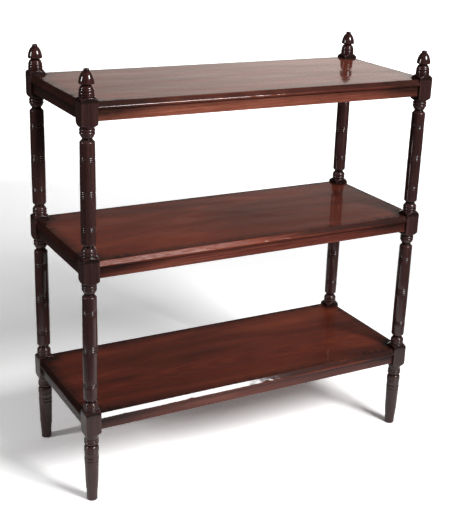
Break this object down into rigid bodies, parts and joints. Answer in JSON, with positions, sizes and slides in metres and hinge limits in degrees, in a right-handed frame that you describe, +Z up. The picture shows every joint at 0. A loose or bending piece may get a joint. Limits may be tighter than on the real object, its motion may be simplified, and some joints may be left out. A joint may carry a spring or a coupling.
{
  "type": "etagere",
  "caption": "Open rectangular mahogany etagere: turned uprights with squared blocks and acorn finials carry bevel-edged shelves on tenoned rails.",
  "frame": {"origin": "on the floor, under the middle of the piece", "axes": "+X along the shelves to the right, +Y from the front to the back, +Z up"},
  "size_m": [0.98, 0.392, 1.0993],
  "materials": {
    "post_polish": "dark French polish on turned mahogany",
    "finial_polish": "dark French polish on turned mahogany",
    "shelf_polish": "glossy French polish on mahogany boards",
    "rail_polish": "French polish on mahogany rails",
    "corner_block_wood": "bare pine, glued in place",
    "screw_steel": "old slotted steel screw"
  },
  "bodies": {
    "root": {"post_front_left": "post_polish", "finial_front_left": "finial_polish", "post_front_right": "post_polish", "finial_front_right": "finial_polish", "post_back_left": "post_polish", "finial_back_left": "finial_polish", "post_back_right": "post_polish", "finial_back_right": "finial_polish", "shelf_bottom": "shelf_polish", "rail_bottom_front": "rail_polish", "rail_bottom_left": "rail_polish", "rail_bottom_back": "rail_polish", "rail_bottom_right": "rail_polish", "corner_block_bottom_front_left": "corner_block_wood", "screw_bottom_front_left": "screw_steel", "corner_block_bottom_front_right": "corner_block_wood", "screw_bottom_front_right": "screw_steel", "corner_block_bottom_back_left": "corner_block_wood", "screw_bottom_back_left": "screw_steel", "corner_block_bottom_back_right": "corner_block_wood", "screw_bottom_back_right": "screw_steel", "shelf_middle": "shelf_polish", "rail_middle_front": "rail_polish", "rail_middle_left": "rail_polish", "rail_middle_back": "rail_polish", "rail_middle_right": "rail_polish", "corner_block_middle_front_left": "corner_block_wood", "screw_middle_front_left": "screw_steel", "corner_block_middle_front_right": "corner_block_wood", "screw_middle_front_right": "screw_steel", "corner_block_middle_back_left": "corner_block_wood", "screw_middle_back_left": "screw_steel", "corner_block_middle_back_right": "corner_block_wood", "screw_middle_back_right": "screw_steel", "shelf_top": "shelf_polish", "rail_top_front": "rail_polish", "rail_top_left": "rail_polish", "rail_top_back": "rail_polish", "rail_top_right": "rail_polish", "corner_block_top_front_left": "corner_block_wood", "screw_top_front_left": "screw_steel", "corner_block_top_front_right": "corner_block_wood", "screw_top_front_right": "screw_steel", "corner_block_top_back_left": "corner_block_wood", "screw_top_back_left": "screw_steel", "corner_block_top_back_right": "corner_block_wood", "screw_top_back_right": "screw_steel"}
  },
  "joints": []
}
